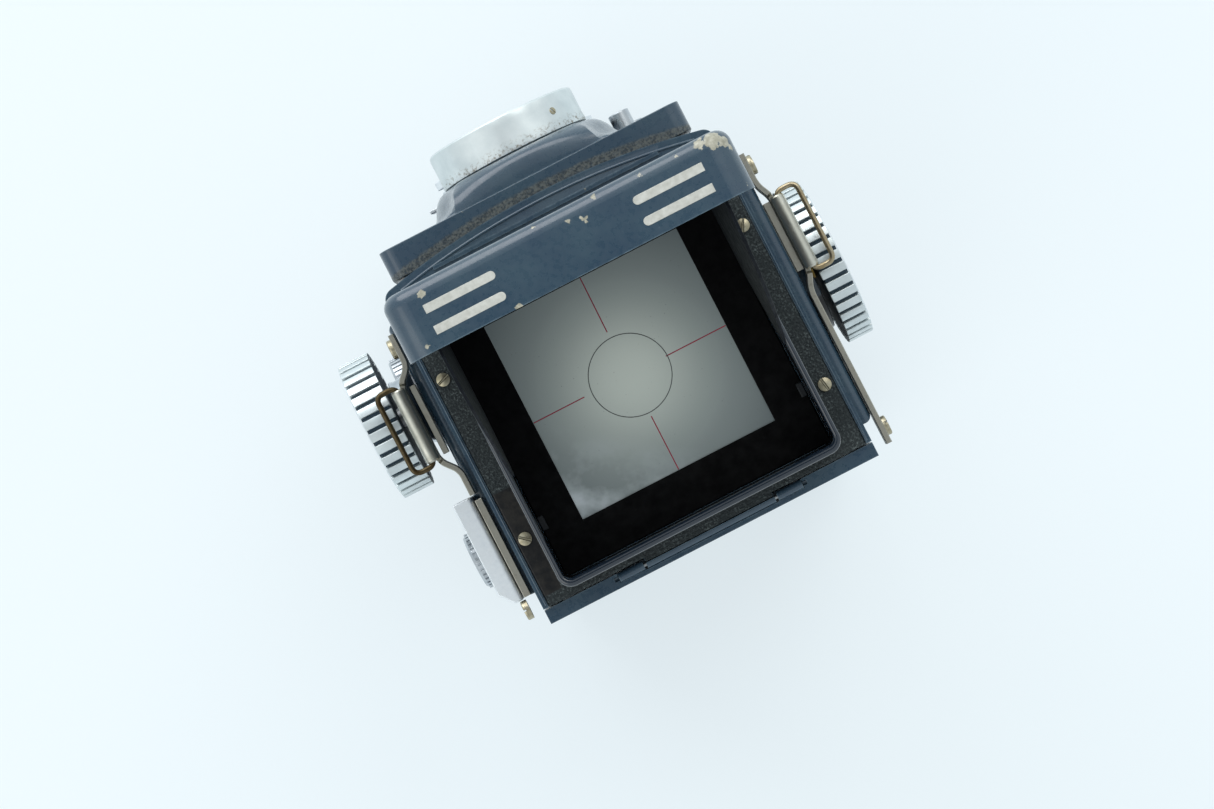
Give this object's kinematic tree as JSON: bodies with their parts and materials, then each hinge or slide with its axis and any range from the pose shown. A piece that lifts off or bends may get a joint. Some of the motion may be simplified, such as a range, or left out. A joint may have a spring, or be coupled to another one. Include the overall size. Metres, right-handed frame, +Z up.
{
  "type": "twin lens reflex camera",
  "caption": "Compact twin lens reflex camera with an open waist-level hood, focusing screen, fluted lens rings, barred knobs, strap rings and a side accessory shoe.",
  "frame": {"origin": "mouth of the tripod socket, in the middle of the base", "axes": "+Z up through the focusing screen, -Y the way the lenses look, +X the focusing-knob side"},
  "size_m": [0.0986, 0.0948, 0.1766],
  "materials": {
    "blue_enamel": "gloss",
    "black_crackle": "crackle",
    "black_paint": "semi-gloss",
    "matt_black": "matt",
    "leatherette": "grained",
    "chrome": "satin",
    "aluminium": "satin",
    "nickel": "worn",
    "steel": "bright",
    "brass": "machined",
    "optical_glass": "coated",
    "screen_glass": "ground",
    "mirror_silver": "polished"
  },
  "bodies": {
    "chassis": {"body_shell": "blue_enamel", "hood_base": "black_crackle", "left_cover": "leatherette", "right_cover": "leatherette", "base_plate": "black_paint", "tripod_socket": "steel", "light_box": "matt_black", "film_gate": "matt_black", "mirror": "mirror_silver", "mirror_frame": "matt_black", "ground_glass": "screen_glass", "screen_frame": "matt_black", "chassis_plates": "matt_black", "hinge_pins": "steel", "focus_boss": "aluminium", "left_strap_bracket": "nickel", "right_strap_bracket": "nickel", "accessory_shoe": "aluminium", "bracket_plates": "nickel", "screws": "nickel"},
    "lid": {"hood_lid": "blue_enamel", "hood_liner": "black_paint", "lid_pins": "steel"},
    "wing_left": {"hood_wing_left": "black_paint"},
    "wing_right": {"hood_wing_right": "black_paint"},
    "magnifier": {"magnifier_frame": "black_paint", "magnifier_lens": "optical_glass"},
    "lens_unit": {"lens_board": "blue_enamel", "front_cover": "blue_enamel", "viewing_ring": "chrome", "taking_ring": "chrome", "viewing_barrel": "black_paint", "taking_barrel": "black_paint", "viewing_front_element": "optical_glass", "viewing_rear_element": "optical_glass", "taking_front_element": "optical_glass", "taking_rear_element": "optical_glass", "shutter_blades": "steel", "sync_socket": "chrome", "guide_posts": "steel"},
    "speed_control": {"speed_ring": "aluminium"},
    "aperture_control": {"aperture_ring": "aluminium"},
    "cocking_lever": {"shutter_lever": "chrome"},
    "release": {"shutter_button": "chrome"},
    "focus_drive": {"focus_knob": "aluminium", "focus_camshaft": "steel"},
    "wind_drive": {"wind_knob": "aluminium", "wind_gear": "brass"},
    "takeup": {"takeup_gear": "brass", "takeup_spool": "matt_black"},
    "supply": {"supply_spool": "matt_black"},
    "upper_pull": {"upper_spool_knob": "chrome"},
    "lower_pull": {"lower_spool_knob": "chrome"},
    "door": {"back_door": "blue_enamel"},
    "pressure": {"pressure_plate": "matt_black"},
    "latch": {"door_latch": "chrome"},
    "roller_low": {"lower_roller": "steel"},
    "roller_high": {"upper_roller": "steel"},
    "ring_left": {"left_d_ring": "nickel"},
    "ring_right": {"right_d_ring": "nickel"}
  },
  "joints": [
    {"name": "hood_lid", "type": "hinge", "parent": "chassis", "child": "lid", "pos_m": [0, -0.0288, 0.1152], "axis": [-1, 0, 0], "range_deg": [0, 90]},
    {"name": "wing_left", "type": "hinge", "parent": "lid", "child": "wing_left", "pos_m": [0.02815, -0.0239, 0.1152], "axis": [0, 0, 1], "range_deg": [0, 90]},
    {"name": "wing_right", "type": "hinge", "parent": "lid", "child": "wing_right", "pos_m": [-0.02815, -0.0219, 0.1152], "axis": [0, 0, -1], "range_deg": [0, 90]},
    {"name": "magnifier", "type": "hinge", "parent": "lid", "child": "magnifier", "pos_m": [0, -0.028, 0.162], "axis": [-1, 0, 0], "range_deg": [-90, 0]},
    {"name": "focus_knob", "type": "hinge", "parent": "chassis", "child": "focus_drive", "pos_m": [0.0305, -0.0131, 0.086], "axis": [1, 0, 0], "range_deg": [-108, 162]},
    {"name": "lens_slide", "type": "slide", "parent": "chassis", "child": "lens_unit", "axis": [0, -1, 0], "range_m": [-0.002, 0.003]},
    {"name": "speed_ring", "type": "hinge", "parent": "lens_unit", "child": "speed_control", "pos_m": [0, -0.051, 0.036], "axis": [0, 1, 0], "range_deg": [-30, 40]},
    {"name": "aperture_ring", "type": "hinge", "parent": "lens_unit", "child": "aperture_control", "pos_m": [0, -0.053, 0.036], "axis": [0, 1, 0], "range_deg": [-40, 30]},
    {"name": "shutter_lever", "type": "hinge", "parent": "lens_unit", "child": "cocking_lever", "pos_m": [0, -0.05, 0.036], "axis": [0, 1, 0], "range_deg": [0, 25], "stiffness_Nm_per_rad": 0.02},
    {"name": "shutter_button", "type": "slide", "parent": "lens_unit", "child": "release", "axis": [0, 1, 0], "range_m": [0, 0.0022], "stiffness_N_per_m": 300},
    {"name": "wind_knob", "type": "hinge", "parent": "chassis", "child": "wind_drive", "pos_m": [-0.035, -0.0023, 0.08434], "axis": [1, 0, 0], "continuous": true},
    {"name": "takeup_spool", "type": "hinge", "parent": "chassis", "child": "takeup", "pos_m": [-0.025, 0.0195, 0.0753], "axis": [1, 0, 0], "continuous": true},
    {"name": "supply_spool", "type": "hinge", "parent": "chassis", "child": "supply", "pos_m": [0, -0.021, 0.0137], "axis": [1, 0, 0], "continuous": true},
    {"name": "upper_spool_knob", "type": "slide", "parent": "chassis", "child": "upper_pull", "axis": [1, 0, 0], "range_m": [0, 0.005], "stiffness_N_per_m": 150},
    {"name": "lower_spool_knob", "type": "slide", "parent": "chassis", "child": "lower_pull", "axis": [1, 0, 0], "range_m": [0, 0.005], "stiffness_N_per_m": 150},
    {"name": "back_door", "type": "hinge", "parent": "chassis", "child": "door", "pos_m": [0, 0.03435, 0.104], "axis": [1, 0, 0], "range_deg": [0, 110]},
    {"name": "pressure_plate", "type": "slide", "parent": "door", "child": "pressure", "axis": [0, 1, 0], "range_m": [0, 0.001], "stiffness_N_per_m": 200},
    {"name": "door_latch", "type": "slide", "parent": "door", "child": "latch", "axis": [1, 0, 0], "range_m": [0, 0.003], "stiffness_N_per_m": 100},
    {"name": "lower_roller", "type": "hinge", "parent": "chassis", "child": "roller_low", "pos_m": [0, 0.0266, 0.0102], "axis": [1, 0, 0], "continuous": true},
    {"name": "upper_roller", "type": "hinge", "parent": "chassis", "child": "roller_high", "pos_m": [0, 0.0266, 0.0618], "axis": [1, 0, 0], "continuous": true},
    {"name": "left_d_ring", "type": "hinge", "parent": "chassis", "child": "ring_left", "pos_m": [0.0417, -0.01, 0.1026], "axis": [0, -1, 0], "range_deg": [0, 110]},
    {"name": "right_d_ring", "type": "hinge", "parent": "chassis", "child": "ring_right", "pos_m": [-0.0413, -0.01, 0.1026], "axis": [0, 1, 0], "range_deg": [0, 110]}
  ],
  "couplings": [
    {"joint": "wing_left", "follows": "hood_lid", "ratio": 1},
    {"joint": "wing_right", "follows": "hood_lid", "ratio": 1},
    {"joint": "focus_knob", "follows": "lens_slide", "rad_per_m": 943.4},
    {"joint": "takeup_spool", "follows": "wind_knob", "ratio": -1.36}
  ]
}
